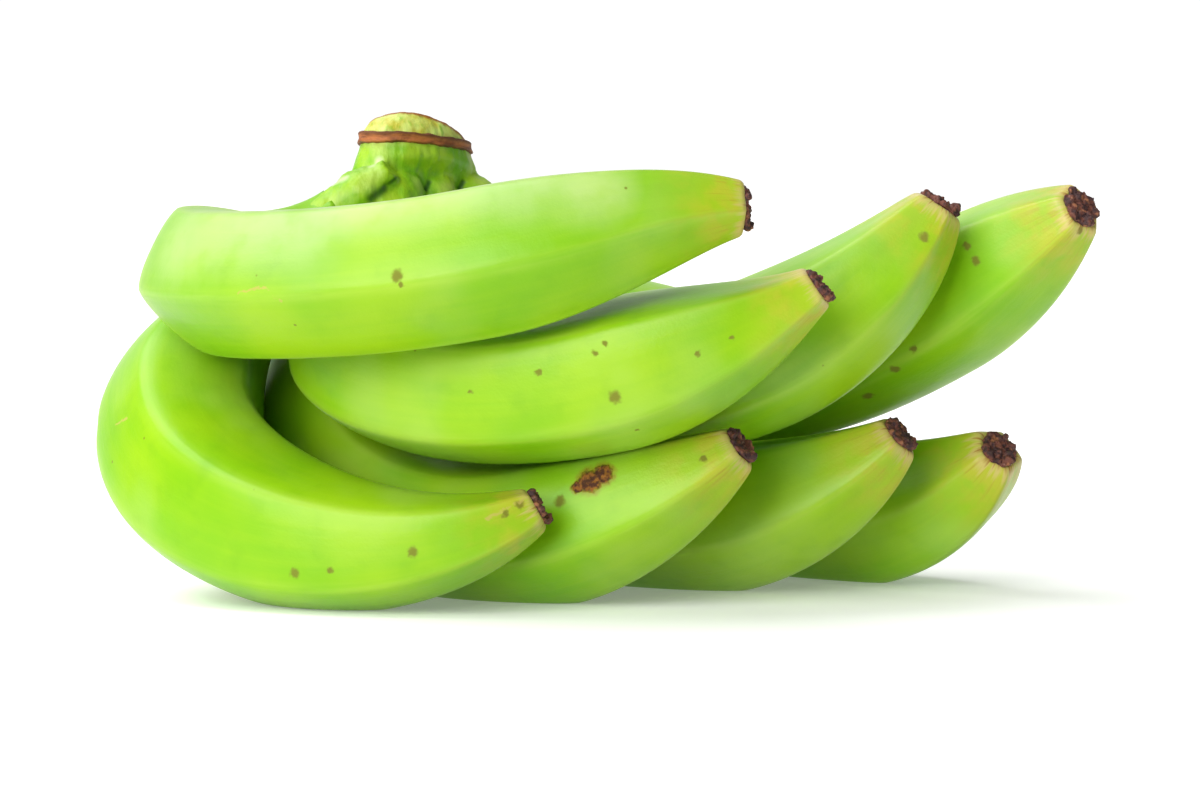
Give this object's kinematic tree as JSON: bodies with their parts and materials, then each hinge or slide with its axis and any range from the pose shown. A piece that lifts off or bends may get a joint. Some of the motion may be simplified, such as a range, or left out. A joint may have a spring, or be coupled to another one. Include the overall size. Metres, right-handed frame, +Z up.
{
  "type": "hand of green plantains",
  "caption": "Cut hand of green plantains: curved, softly ridged fingers grown together on a crown, lying on its side, with dry dark flower ends.",
  "frame": {"origin": "on the table, under the middle of the hand's footprint", "axes": "+Z up, +X along the longest side of the hand, from the side of the crown to the flower ends"},
  "size_m": [0.28, 0.1952, 0.1357],
  "materials": {
    "peel": "satin, waxy green peel with paler ridges, small brown specks and scratches",
    "crown": "fibrous yellow-green crown with a raised brown scar band and a dull cut face",
    "dry_flower_end": "dry, rough, dark brown remnant of the flower"
  },
  "bodies": {
    "root": {"crown": "crown", "upper_finger_1": "peel", "upper_finger_2": "peel", "upper_finger_3": "peel", "upper_finger_4": "peel", "lower_finger_1": "peel", "lower_finger_2": "peel", "lower_finger_3": "peel", "lower_finger_4": "peel", "upper_finger_1_flower_end": "dry_flower_end", "upper_finger_2_flower_end": "dry_flower_end", "upper_finger_3_flower_end": "dry_flower_end", "upper_finger_4_flower_end": "dry_flower_end", "lower_finger_1_flower_end": "dry_flower_end", "lower_finger_2_flower_end": "dry_flower_end", "lower_finger_3_flower_end": "dry_flower_end", "lower_finger_4_flower_end": "dry_flower_end"}
  },
  "joints": []
}
